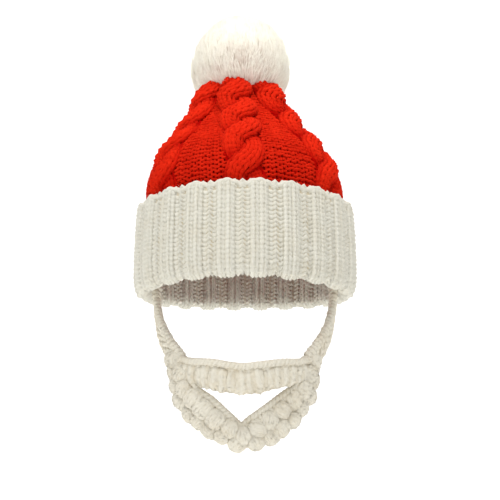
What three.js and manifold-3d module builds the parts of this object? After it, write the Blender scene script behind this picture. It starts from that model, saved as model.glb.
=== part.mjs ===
// A knitted winter hat with a crocheted beard, in the shape that it has when worn: a cable-knit
// crown gathered under a fur pompom, a turned-up ribbed cuff, and a moustache and a bobbled chin
// beard that hang from the cuff on two straps. Millimetres, +Z up, the wearer faces -Y.
import * as THREE from "three";
import { mergeVertices } from "three/addons/utils/BufferGeometryUtils.js";
import Module from "manifold-3d";

const wasm = await Module();
wasm.setup();

// Driving dimensions
const RIM_TILT = THREE.MathUtils.degToRad(21); // the rim's plane rises towards the forehead
const HAT_DEPTH_RATIO = 1.06; // front to back, over side to side
const TOP_LEAN = -4; // the gathered top sits this far to one side
const BACK_LIFT = 16; // the rim curves up by this much at the back of the head
const FACETS_ROUND = 48;

const RIB_THICKNESS = 4.6; // one layer of the ribbed cuff
const CABLE_KNIT_THICKNESS = 5; // the crown between its cables
const CABLES = 6;
const CABLE_WIDTH = 34;
const GATHER_HEIGHT = 180; // the crown is round and fully gathered above this
const CROWN_STEPS = 15;
const CUFF_STEPS = 11;

const POMPOM_RADIUS = 45;
const POMPOM_HEIGHT = 222; // its centre, along the hat's axis
const FUR_FACETS = 18;

const BEARD_AXIS_DEPTH = -20; // the beard wraps round an upright line at this depth
const BAND_FACETS = 10;
const BAND_FLATNESS = 0.75; // below 1, a band's oval section is squarer
const STRAP_STEPS = 12;
const MOUSTACHE_STEPS = 14;
const BEARD_STEPS = 18;
const BOBBLE_RADIUS = 6.6;
const BOBBLE_SPACING = 12.6;
const BOBBLE_STANDS_OUT = 0.3; // a bobble's middle, as a share of the band's thickness
const SEAM_GAP = 0.3; // between pieces that are sewn to each other

const CREAM = 0xeae6d8;
const RED = 0xe0301a;
const FUR_WHITE = 0xf6f3ea;

// The cuff's fabric from its cut edge inside the hat, round the fold at the rim, to its cast-on
// edge outside. radius is to the fabric's middle, across the hat, and height is above the rim.
const CUFF_SECTIONS = [
  { radius: 84.2, height: 57.5 },
  { radius: 84.2, height: 40 },
  { radius: 83.6, height: 20 },
  { radius: 83.0, height: 8 },
  { radius: 84.6, height: 3.4 },
  { radius: 88.0, height: 2.4 },
  { radius: 91.2, height: 5.5 },
  { radius: 93.0, height: 13 },
  { radius: 93.6, height: 24 },
  { radius: 92.6, height: 45 },
  { radius: 91.6, height: 65 },
  { radius: 90.6, height: 78 },
];

// The crown's fabric from where it joins the cuff's inner layer to the gathered middle of its top.
// fold is how far the gathers swing in and out, as a share of the radius, and cable is how far the
// cables stand up: the cuff presses them flat.
const CROWN_SECTIONS = [
  { radius: 84.2, height: 60.4, fold: 0, cable: 0 },
  { radius: 85.0, height: 80, fold: 0, cable: 0.4 },
  { radius: 86.0, height: 100, fold: 0.004, cable: 3.6 },
  { radius: 81.0, height: 120, fold: 0.01, cable: 4 },
  { radius: 67.0, height: 140, fold: 0.02, cable: 4 },
  { radius: 52.0, height: 160, fold: 0.04, cable: 4 },
  { radius: 41.0, height: 180, fold: 0.08, cable: 4 },
  { radius: 33.0, height: 193, fold: 0.12, cable: 4 },
  { radius: 25.5, height: 200, fold: 0.14, cable: 3 },
  { radius: 17.0, height: 198, fold: 0.14, cable: 2 },
  { radius: 9.0, height: 190, fold: 0.1, cable: 1 },
  { radius: 0, height: 186, fold: 0, cable: 0 },
];

// The left strap's middle line, from its sewn end inside the cuff to the cheek.
// width lies along the face and thickness stands off it.
const STRAP_SECTIONS = [
  { x: -75.3, y: -6, z: 27, width: 17, thickness: 5 },
  { x: -74.8, y: -14, z: 5, width: 17, thickness: 5 },
  { x: -72.3, y: -26, z: -10, width: 17, thickness: 5.4 },
  { x: -67.2, y: -41, z: -22, width: 18, thickness: 6 },
  { x: -60.6, y: -53.5, z: -30.5, width: 20, thickness: 7 },
  { x: -53.2, y: -63, z: -39.5, width: 22, thickness: 8 },
];

// The chin beard's middle line, from the left cheek under the chin to the right cheek.
const BEARD_SECTIONS = [
  { x: -51.5, y: -64.5, z: -39.5, width: 24, thickness: 9 },
  { x: -50.0, y: -70, z: -56, width: 27, thickness: 10 },
  { x: -43.0, y: -77, z: -68.5, width: 27, thickness: 10 },
  { x: -31.4, y: -84, z: -77.2, width: 28.2, thickness: 10 },
  { x: -18.7, y: -89, z: -85.9, width: 25.4, thickness: 10 },
  { x: -3.0, y: -91, z: -93, width: 20.5, thickness: 10 },
  { x: 10.5, y: -90, z: -88.8, width: 24.8, thickness: 10 },
  { x: 23.6, y: -87, z: -81.8, width: 27, thickness: 10 },
  { x: 35.1, y: -81, z: -73.2, width: 26.6, thickness: 10 },
  { x: 45.0, y: -74.5, z: -64, width: 23, thickness: 10 },
  { x: 49.5, y: -68, z: -53, width: 23, thickness: 10 },
  { x: 50.5, y: -63, z: -39.5, width: 22, thickness: 9 },
];

// The rows of bobbles on the chin beard, set like bricks. across is a share of the band's width,
// towards the mouth, and start is where a row begins, counted in bobbles.
const BOBBLE_ROWS = [
  { across: 0.25, start: 0.5 },
  { across: -0.22, start: 1 },
];

// The moustache's middle line, from cheek to cheek over the upper lip.
const MOUSTACHE_SECTIONS = [
  { x: -47.0, y: -71, z: -45, width: 18, thickness: 8 },
  { x: -40.0, y: -79, z: -45, width: 19, thickness: 8 },
  { x: -25.2, y: -90, z: -44.5, width: 21, thickness: 9 },
  { x: -12.6, y: -95.5, z: -46, width: 22, thickness: 10 },
  { x: -1.0, y: -97.5, z: -47, width: 22.5, thickness: 10.5 },
  { x: 12.6, y: -95.5, z: -45.5, width: 21.5, thickness: 10 },
  { x: 28.2, y: -88.5, z: -44, width: 19.5, thickness: 9 },
  { x: 40.4, y: -78.5, z: -45, width: 17.5, thickness: 8 },
  { x: 47.5, y: -70.5, z: -45, width: 17, thickness: 8 },
];

// Only positions matter for a solid, so shared corners are merged and flat slivers dropped.
function closedGeometry(geometry) {
  const bare = new THREE.BufferGeometry();
  bare.setAttribute("position", geometry.getAttribute("position"));
  bare.setIndex(geometry.getIndex());
  const merged = mergeVertices(bare, 1e-3);
  const corners = merged.getIndex().array;
  const kept = [];
  for (let i = 0; i < corners.length; i += 3) {
    const [a, b, c] = corners.slice(i, i + 3);
    if (a !== b && b !== c && c !== a) kept.push(a, b, c);
  }
  merged.setIndex(kept);
  return merged;
}

function solidOf(geometry) {
  const closed = closedGeometry(geometry);
  return new wasm.Manifold(
    new wasm.Mesh({
      numProp: 3,
      vertProperties: closed.getAttribute("position").array,
      triVerts: new Uint32Array(closed.getIndex().array),
    }),
  );
}

function geometryOf(solid) {
  const mesh = solid.getMesh();
  const geometry = new THREE.BufferGeometry();
  geometry.setAttribute("position", new THREE.BufferAttribute(mesh.vertProperties, 3));
  geometry.setIndex(new THREE.BufferAttribute(mesh.triVerts, 1));
  return geometry;
}

function yarnMaterial(color) {
  return new THREE.MeshStandardMaterial({ color, roughness: 0.95, metalness: 0 });
}

function piece(name, geometry, color) {
  const mesh = new THREE.Mesh(geometry, yarnMaterial(color));
  mesh.name = name;
  return mesh;
}

// Smooth values of a table's columns at a share of the way through its rows.
function tableAt(rows, share) {
  const place = share * (rows.length - 1);
  const row = Math.min(Math.floor(place), rows.length - 2);
  const at = (i) => rows[Math.max(0, Math.min(rows.length - 1, i))];
  const t = place - row;
  const found = {};
  for (const column of Object.keys(rows[0])) {
    const [a, b, c, d] = [-1, 0, 1, 2].map((k) => at(row + k)[column]);
    found[column] =
      b + 0.5 * t * (c - a + t * (2 * a - 5 * b + 4 * c - d + t * (3 * (b - c) + d - a)));
  }
  return found;
}

// One face of a fabric wall, at a distance outside its middle line, from the table's first row to
// its last. A last row at radius 0 ends the face on the axis.
function wallFace(rows, steps, distance) {
  const line = [];
  for (let i = 0; i <= steps; i++) line.push(tableAt(rows, i / steps));
  return line.map((point, i) => {
    const before = line[Math.max(0, i - 1)];
    const after = line[Math.min(steps, i + 1)];
    const along = new THREE.Vector2(after.radius - before.radius, after.height - before.height);
    if (point.radius === 0) along.y = 0;
    along.normalize().multiplyScalar(distance);
    const radius = Math.max(0, point.radius + along.y);
    return { ...point, radius, height: point.height - along.x };
  });
}

// Turns a profile round the hat's axis. swell gives the extra radius of a profile row at an angle.
// The hat is oval round the head, with a rim that lifts at the back, and round at its gathered top.
function turnedRoundHat(profile, swell) {
  const turned = new THREE.LatheGeometry(
    profile.map((row) => new THREE.Vector2(row.radius, row.height)),
    FACETS_ROUND,
  );
  const position = turned.getAttribute("position");
  for (let i = 0; i < position.count; i++) {
    const row = profile[i % profile.length];
    const angle = (Math.floor(i / profile.length) / FACETS_ROUND) * 2 * Math.PI;
    const radius = row.radius + swell(row, angle);
    const top = topShare(row.height);
    const lift = BACK_LIFT * ((1 - Math.cos(angle)) / 2) ** 2;
    position.setXYZ(
      i,
      radius * Math.sin(angle) + TOP_LEAN * top,
      -radius * Math.cos(angle) * THREE.MathUtils.lerp(HAT_DEPTH_RATIO, 1, top),
      row.height + lift * (1 - top),
    );
  }
  return closedGeometry(turned);
}

// How near a height is to the gathered top: 0 at the cuff's upper edge and 1 at the gathers.
function topShare(height) {
  const cuffTop = CUFF_SECTIONS.at(-1).height;
  return THREE.MathUtils.clamp((height - cuffTop) / (GATHER_HEIGHT - cuffTop), 0, 1);
}

// The crown's extra radius at an angle: the gathers, which swing out at the cables, and on the
// outer face the rounded ridge of each cable, which keeps its width as the crown narrows.
function crownSwell(row, angle) {
  const pitch = (2 * Math.PI) / CABLES;
  const fromCable = Math.abs(angle - pitch * Math.round(angle / pitch));
  const halfAngle = Math.min(CABLE_WIDTH / 2 / Math.max(row.radius, 1), pitch / 2);
  const share = Math.min(1, fromCable / halfAngle);
  const ridge = row.outside ? row.cable * Math.cos((share * Math.PI) / 2) : 0;
  return row.fold * row.radius * Math.cos(CABLES * angle) + ridge;
}

function crownOuterFace(gap = 0) {
  const face = wallFace(CROWN_SECTIONS, CROWN_STEPS, CABLE_KNIT_THICKNESS / 2 + gap);
  return face.map((row) => ({ ...row, outside: true }));
}

function crown() {
  const inner = wallFace(CROWN_SECTIONS, CROWN_STEPS, -CABLE_KNIT_THICKNESS / 2);
  const profile = [...inner.reverse(), ...crownOuterFace()];
  return piece("crown", turnedRoundHat(profile, crownSwell), RED);
}

function cuff() {
  const inner = wallFace(CUFF_SECTIONS, CUFF_STEPS, -RIB_THICKNESS / 2);
  const outer = wallFace(CUFF_SECTIONS, CUFF_STEPS, RIB_THICKNESS / 2);
  const profile = [...outer, ...inner.reverse(), outer[0]];
  return piece("cuff", turnedRoundHat(profile, () => 0), CREAM);
}

// The fur ball, pressed up underneath where it nests in the gathered top.
function pompom() {
  const ball = new THREE.SphereGeometry(POMPOM_RADIUS, FUR_FACETS, FUR_FACETS / 2);
  ball.rotateX(Math.PI / 2);
  ball.translate(TOP_LEAN, 0, POMPOM_HEIGHT);
  const face = crownOuterFace(SEAM_GAP);
  const nest = [{ ...face[0], radius: 0 }, ...face];
  const pressed = solidOf(ball).subtract(solidOf(turnedRoundHat(nest, crownSwell)));
  return piece("pompom", geometryOf(pressed), FUR_WHITE);
}

// Sweeps a rounded band along a table's middle line. grow widens it all round.
function band(rows, steps, grow = 0) {
  const rod = new THREE.CylinderGeometry(1, 1, 1, BAND_FACETS, steps);
  const position = rod.getAttribute("position");
  for (let i = 0; i < position.count; i++) {
    const share = 0.5 - position.getY(i);
    const frame = bandFrame(rows, share);
    const row = tableAt(rows, share);
    const reach = Math.hypot(position.getX(i), position.getZ(i));
    const angle = Math.atan2(position.getX(i), position.getZ(i));
    const squared = (value) => Math.sign(value) * Math.abs(value) ** BAND_FLATNESS;
    const across = reach * squared(Math.sin(angle)) * (row.width / 2 + grow);
    const out = reach * squared(Math.cos(angle)) * (row.thickness / 2 + grow);
    const end = grow * (share < 1e-6 ? -1 : share > 1 - 1e-6 ? 1 : 0);
    const point = frame.place
      .addScaledVector(frame.side, across)
      .addScaledVector(frame.out, out)
      .addScaledVector(frame.along, end);
    position.setXYZ(i, point.x, point.y, point.z);
  }
  return solidOf(rod);
}

// Where a band is at a share of its length: its place, its way along, out from the face, and aside.
function bandFrame(rows, share) {
  const step = 0.02;
  const point = (s) => {
    const row = tableAt(rows, THREE.MathUtils.clamp(s, 0, 1));
    return new THREE.Vector3(row.x, row.y, row.z);
  };
  const place = point(share);
  const along = point(share + step).sub(point(share - step)).normalize();
  const out = new THREE.Vector3(place.x, place.y - BEARD_AXIS_DEPTH, 0).normalize();
  const side = new THREE.Vector3().crossVectors(out, along).normalize();
  out.crossVectors(along, side).normalize();
  return { place, along, out, side };
}

function lengthOf(rows) {
  const samples = 200;
  let length = 0;
  let last = bandFrame(rows, 0).place;
  for (let i = 1; i <= samples; i++) {
    const next = bandFrame(rows, i / samples).place;
    length += next.distanceTo(last);
    last = next;
  }
  return length;
}

// The chin beard: a band with its rows of bobbles. grow widens it all round.
function beardSolid(grow = 0) {
  let solid = band(BEARD_SECTIONS, BEARD_STEPS, grow);
  const count = Math.round(lengthOf(BEARD_SECTIONS) / BOBBLE_SPACING);
  for (const row of BOBBLE_ROWS) {
    for (let bobble = row.start; bobble < count; bobble++) {
      const share = bobble / count;
      const frame = bandFrame(BEARD_SECTIONS, share);
      const size = tableAt(BEARD_SECTIONS, share);
      const ball = new THREE.DodecahedronGeometry(BOBBLE_RADIUS + grow);
      const place = frame.place
        .addScaledVector(frame.side, row.across * size.width)
        .addScaledVector(frame.out, BOBBLE_STANDS_OUT * size.thickness);
      ball.translate(place.x, place.y, place.z);
      solid = solid.add(solidOf(ball));
    }
  }
  return solid;
}

// The straps and the moustache end against the chin beard, which they are sewn to.
function beardPieces() {
  const keepOut = beardSolid(SEAM_GAP);
  const otherSide = STRAP_SECTIONS.map((row) => ({ ...row, x: -row.x }));
  const left = band(STRAP_SECTIONS, STRAP_STEPS).subtract(keepOut);
  const right = band(otherSide, STRAP_STEPS).subtract(keepOut);
  const moustache = band(MOUSTACHE_SECTIONS, MOUSTACHE_STEPS).subtract(keepOut);
  return [
    piece("strap_left", geometryOf(left), CREAM),
    piece("strap_right", geometryOf(right), CREAM),
    piece("moustache", geometryOf(moustache), CREAM),
    piece("chin_beard", geometryOf(beardSolid()), CREAM),
  ];
}

const hat = new THREE.Group();
hat.add(crown(), cuff(), pompom());
hat.rotation.x = -RIM_TILT;

const beard = new THREE.Group();
beard.add(...beardPieces());

const wornHat = new THREE.Group();
wornHat.add(hat, beard);

export default wornHat;
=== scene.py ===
import math

import bmesh
import bpy
import numpy as np
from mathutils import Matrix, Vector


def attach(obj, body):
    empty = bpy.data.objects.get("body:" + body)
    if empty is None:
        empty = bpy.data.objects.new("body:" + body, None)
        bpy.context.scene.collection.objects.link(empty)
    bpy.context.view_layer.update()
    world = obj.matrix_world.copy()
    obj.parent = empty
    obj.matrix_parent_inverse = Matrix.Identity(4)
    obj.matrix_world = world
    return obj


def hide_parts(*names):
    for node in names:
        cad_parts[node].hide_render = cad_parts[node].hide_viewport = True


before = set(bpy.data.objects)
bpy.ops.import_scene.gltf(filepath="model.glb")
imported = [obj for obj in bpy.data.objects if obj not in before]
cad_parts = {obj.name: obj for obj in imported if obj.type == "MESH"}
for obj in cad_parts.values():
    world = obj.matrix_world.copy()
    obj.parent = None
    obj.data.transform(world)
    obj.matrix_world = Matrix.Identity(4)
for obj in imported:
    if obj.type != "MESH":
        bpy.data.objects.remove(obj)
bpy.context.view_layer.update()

# Studio
# A pale floor that sweeps up into a wall behind, lit by large soft panels.
# The camera stands in front, a little above the cuff, and looks slightly down.
FLOOR_HEIGHT = -0.36
SWEEP_HALF_WIDTH = 4.0
SWEEP_FRONT = -3.0
SWEEP_BEND_START = 1.6
SWEEP_BEND_RADIUS = 1.2
SWEEP_BEND_STEPS = 24
WALL_RISE = 3.0
PAPER_COLOUR = (0.93, 0.93, 0.92, 1)
PAPER_ROUGHNESS = 0.9
PAPER_GLOW = 0.45
PURE_WHITE = (1, 1, 1, 1)
CAMERA_TILT = math.radians(5.0)
CAMERA_DISTANCE = 1.0
CAMERA_SIDE = 0.0043
CAMERA_AIM_HEIGHT = 0.0462
CAMERA_LENS = 83.74
CAMERA_SENSOR_WIDTH = 36
CAMERA_NEAREST = 0.05
SKY_STRENGTH = 0.5
LIGHT_BOUNCES = 8
LIGHT_AIM = (0, 0, 0.07)
# Each panel's name, place, width and power.
LIGHT_PANELS = [
    ("key_panel", (-0.6, -1.5, 1.6), 1.3, 9.0),
    ("fill_panel", (1.3, -1.3, 0.6), 1.3, 5.2),
    ("side_panel", (-1.5, -0.9, 0.5), 1.2, 5.5),
    ("top_panel", (0.1, -0.1, 1.7), 1.2, 20.0),
]


def only(kind, parts):
    """The vertices, or the edges, among what an operator made."""
    return [part for part in parts if isinstance(part, kind)]


sweep = bmesh.new()
corners = [sweep.verts.new((side * SWEEP_HALF_WIDTH, SWEEP_FRONT, FLOOR_HEIGHT)) for side in (-1, 1)]
front_edge = sweep.edges.new(corners)
floor_part = bmesh.ops.extrude_edge_only(sweep, edges=[front_edge])["geom"]
floor_corners = only(bmesh.types.BMVert, floor_part)
bmesh.ops.translate(sweep, verts=floor_corners, vec=(0, SWEEP_BEND_START - SWEEP_FRONT, 0))
bend = bmesh.ops.spin(
    sweep,
    geom=only(bmesh.types.BMEdge, floor_part) + floor_corners,
    cent=(0, SWEEP_BEND_START, FLOOR_HEIGHT + SWEEP_BEND_RADIUS),
    axis=(1, 0, 0),
    angle=math.radians(90),
    steps=SWEEP_BEND_STEPS,
)["geom_last"]
wall_part = bmesh.ops.extrude_edge_only(sweep, edges=only(bmesh.types.BMEdge, bend))["geom"]
bmesh.ops.translate(sweep, verts=only(bmesh.types.BMVert, wall_part), vec=(0, 0, WALL_RISE))
bmesh.ops.recalc_face_normals(sweep, faces=sweep.faces)
sweep_mesh = bpy.data.meshes.new("floor")
sweep.to_mesh(sweep_mesh)
sweep.free()
for face in sweep_mesh.polygons:
    face.use_smooth = True
floor = bpy.data.objects.new("floor", sweep_mesh)
bpy.context.scene.collection.objects.link(floor)
paper = bpy.data.materials.new("white_paper")
paper.use_nodes = True
paper_shader = paper.node_tree.nodes["Principled BSDF"]
paper_shader.inputs["Base Color"].default_value = PAPER_COLOUR
paper_shader.inputs["Roughness"].default_value = PAPER_ROUGHNESS
paper_shader.inputs["Emission Color"].default_value = PURE_WHITE
paper_shader.inputs["Emission Strength"].default_value = PAPER_GLOW
floor.data.materials.append(paper)

camera = bpy.data.objects.new("camera", bpy.data.cameras.new("camera"))
bpy.context.scene.collection.objects.link(camera)
camera.data.sensor_width = CAMERA_SENSOR_WIDTH
camera.data.lens = CAMERA_LENS
camera.data.clip_start = CAMERA_NEAREST
camera.location = (
    CAMERA_SIDE,
    -CAMERA_DISTANCE * math.cos(CAMERA_TILT),
    CAMERA_AIM_HEIGHT + CAMERA_DISTANCE * math.sin(CAMERA_TILT),
)
camera.rotation_euler = (math.radians(90) - CAMERA_TILT, 0, 0)
bpy.context.scene.camera = camera
bpy.context.scene.view_settings.view_transform = "Standard"

for panel_name, panel_place, panel_size, panel_power in LIGHT_PANELS:
    panel = bpy.data.objects.new(panel_name, bpy.data.lights.new(panel_name, "AREA"))
    panel.data.shape = "DISK"
    panel.data.size = panel_size
    panel.data.energy = panel_power
    panel.location = panel_place
    towards = Vector(LIGHT_AIM) - panel.location
    panel.rotation_euler = towards.to_track_quat("-Z", "Y").to_euler()
    bpy.context.scene.collection.objects.link(panel)
sky = bpy.data.worlds.new("soft_white")
sky.use_nodes = True
sky.node_tree.nodes["Background"].inputs["Color"].default_value = PURE_WHITE
sky.node_tree.nodes["Background"].inputs["Strength"].default_value = SKY_STRENGTH
bpy.context.scene.world = sky
bpy.context.scene.cycles.diffuse_bounces = LIGHT_BOUNCES

# Cuff
# The stretchy band of cream two-by-two rib at the hat's rim, knitted round in thick soft yarn.
# Every yarn runs right round the hat as a row of loops. The band is turned up on itself at its lower
# edge, and its outer edge ends in a cast-on cord. Sizes from here on are in millimetres.
MM = 0.001
# Radius and height, from the inner edge down, round the fold and up to the outer edge.
CUFF_SECTIONS = [
    (84.2, 57.5), (84.2, 40), (83.6, 20), (83.0, 8), (84.6, 3.4), (88.0, 2.4),
    (91.2, 5.5), (93.0, 13), (93.6, 24), (93.4, 44), (92.9, 63), (92.2, 76),
]
SECTION_POINTS = 600
RUN_ON_POINTS = 60
ANGLE_STEP = 0.004
RUN_STEP = 0.4
RIM_TILT = math.radians(21)
DEPTH_RATIO = 1.06
TOP_LEAN = -4.0
BACK_LIFT = 16.0
CUFF_TOP = 78.0
GATHER_HEIGHT = 180.0
RIB_STITCHES = 88
RIB_REPEAT = 4
RIB_KNITS = 2
FRONT_STITCH = 3
RIB_PHASE = math.radians(-1.0)
RIB_ROWS_OUTSIDE = 21
RIB_ROWS_INSIDE = 15
YARN_SIDES = 6
RIB_YARN = 4.3
RIB_PLUMP = 0.16
RIB_SETBACK = 1.0
RIB_SHADE = 0.4
RIB_SHADE_DEPTH = 3.2
LOOP_SWAY = 0.2
KNIT_SWAY = 0.03
LOOP_HEIGHT = 1.12
KNIT_DROP = 0.20
LOOP_DEPTH = 1.4
PURL_SQUEEZE = 0.12
KNIT_COLUMN_RISE = 1.0
KNIT_COLUMN_EDGE = 1.8
UNEVEN_ROW = 0.05
UNEVEN_DEPTH = 0.18
UNEVEN_YARN = 0.04
EDGE_SCALLOP = 1.3
SCALLOP_FADE = 8
CAST_ON_YARN = 4.8
CAST_ON_SAMPLES = 10
CAST_ON_RISE = 0.6
CAST_ON_SWAY = 0.3
CAST_ON_RELIEF = 0.9
CAST_ON_SETBACK = 0.3
CAST_ON_DEPTH = 0.4
CUFF_HAIRS = 3000
CREAM = (0.665, 0.647, 0.568)
# CREAM_DEEP is the painted shade colour of the rib yarn, and the dark end of its random mottle.
CREAM_DEEP = (0.52, 0.42, 0.25)
CREAM_SHEEN = (1, 0.98, 0.92)


def smooth_table(rows, steps):
    """Evenly many points on a smooth line through a table's rows, in all its columns."""
    rows = np.array(rows, float)
    place = np.linspace(0, len(rows) - 1, steps)
    row = np.minimum(place.astype(int), len(rows) - 2)
    t = (place - row)[:, None]
    a = rows[np.maximum(row - 1, 0)]
    b = rows[row]
    c = rows[row + 1]
    d = rows[np.minimum(row + 2, len(rows) - 1)]
    return b + 0.5 * t * (c - a + t * (2 * a - 5 * b + 4 * c - d + t * (3 * (b - c) + d - a)))


def unit(vectors):
    """The same ways, each of length one."""
    return vectors / np.linalg.norm(vectors, axis=-1, keepdims=True)


def tilt_back(points):
    """From the hat's own upright axes to the worn, tilted place."""
    right, back, up = points[..., 0], points[..., 1], points[..., 2]
    return np.stack(
        [
            right,
            back * math.cos(RIM_TILT) + up * math.sin(RIM_TILT),
            up * math.cos(RIM_TILT) - back * math.sin(RIM_TILT),
        ],
        axis=-1,
    )


def hat_point(angle, radius, height):
    """A place on the hat from its angle round the rim, 0 in front, and its place in the hat's section."""
    top = np.clip((height - CUFF_TOP) / (GATHER_HEIGHT - CUFF_TOP), 0, 1)
    lift = BACK_LIFT * ((1 - np.cos(angle)) / 2) ** 2
    right = radius * np.sin(angle) + TOP_LEAN * top
    back = -radius * np.cos(angle) * (DEPTH_RATIO + (1 - DEPTH_RATIO) * top)
    up = height + lift * (1 - top)
    return tilt_back(np.stack([right, back, up], axis=-1))


class HatFabric:
    """A fabric turned round the hat from a table of its section, radius and height first."""

    def __init__(self, sections):
        line = smooth_table(sections, SECTION_POINTS)
        first = line[0] + (line[0] - line[1]) * RUN_ON_POINTS
        last = line[-1] + (line[-1] - line[-2]) * RUN_ON_POINTS
        self.line = np.vstack([first, line, last])
        steps = np.hypot(np.diff(self.line[:, 0]), np.diff(self.line[:, 1]))
        self.run = np.concatenate([[0], np.cumsum(steps)]) - steps[0]
        self.length = self.run[-2]

    def column(self, along, k):
        """A column of the table at a distance along the section."""
        return np.interp(along, self.run, self.line[:, k])

    def middle(self, angle, along):
        """A point in the middle of the fabric's thickness."""
        return hat_point(angle, self.column(along, 0), self.column(along, 1))

    def place(self, angle, along, stand):
        """The point that stands off the fabric's middle, and the way that the fabric faces there."""
        angle, along, stand = np.broadcast_arrays(angle, along, stand)
        round_way = self.middle(angle + ANGLE_STEP, along) - self.middle(angle - ANGLE_STEP, along)
        up_way = self.middle(angle, along + RUN_STEP) - self.middle(angle, along - RUN_STEP)
        facing = unit(np.cross(round_way, up_way))
        return self.middle(angle, along) + facing * stand[..., None], facing


def round_yarn(line, facing, thickness, closed, sides, flatness=1.0):
    """Rings round yarns whose middle lines are given as an array of yarns by points."""
    if closed:
        along = np.roll(line, -1, axis=1) - np.roll(line, 1, axis=1)
    else:
        along = np.gradient(line, axis=1)
    along = unit(along)
    across = unit(np.cross(along, facing))
    out = np.cross(across, along) * flatness
    turn = np.arange(sides) / sides * 2 * math.pi
    radius = np.broadcast_to(np.asarray(thickness, float) / 2, line.shape[:2])[:, :, None, None]
    return line[:, :, None, :] + radius * (
        np.cos(turn)[:, None] * out[:, :, None, :] + np.sin(turn)[:, None] * across[:, :, None, :]
    )


def strands(rings, closed, painted_shade=0.0, tips=None, facing=None):
    """A bundle of like strands, given as rings of points, ready to be joined into a mesh."""
    return {
        "rings": rings,
        "closed": closed,
        # Painted shade: how far each point's colour is darkened towards the yarn's deep colour.
        "painted_shade": np.broadcast_to(np.asarray(painted_shade, float), rings.shape[:2])[:, :, None],
        "tips": tips,
        "facing": facing,
    }


def round_strands(line, facing, thickness, closed, painted_shade=0.0, sides=YARN_SIDES):
    """A bundle of round yarns along their middle lines."""
    return strands(round_yarn(line, facing, thickness, closed, sides), closed, painted_shade, facing=facing)


def filled_mesh(name, points, corners, sizes, maps, painted_shades):
    """A smooth mesh from its points and its faces' corners, with its maps and the painted shade of each
    point.
    """
    mesh = bpy.data.meshes.new(name)
    mesh.vertices.add(len(points))
    mesh.vertices.foreach_set("co", points.astype(np.float32).reshape(-1))
    mesh.loops.add(len(corners))
    mesh.loops.foreach_set("vertex_index", corners.astype(np.int32))
    mesh.polygons.add(len(sizes))
    starts = np.concatenate([[0], np.cumsum(sizes)[:-1]])
    mesh.polygons.foreach_set("loop_start", starts.astype(np.int32))
    mesh.polygons.foreach_set("use_smooth", np.ones(len(sizes), bool))
    mesh.update(calc_edges=True)
    for map_name, places in maps.items():
        layer = mesh.uv_layers.new(name=map_name)
        layer.data.foreach_set("uv", places.astype(np.float32).reshape(-1))
    painted_shade = mesh.attributes.new("painted_shade", "FLOAT", "POINT")
    painted_shade.data.foreach_set("value", painted_shades.astype(np.float32))
    mesh.validate()
    return mesh


BAKE_LINE_POINTS = 500
BAKE_SIDES = 8
BAKE_END_GAP = 0.02
BAKE_LENGTH = 1 - 2 * BAKE_END_GAP
BAKE_SIDE_GAP = 0.06
BAKE_WIDTH = 1 - 2 * BAKE_SIDE_GAP
TIP_STEP = 1e-4


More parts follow.
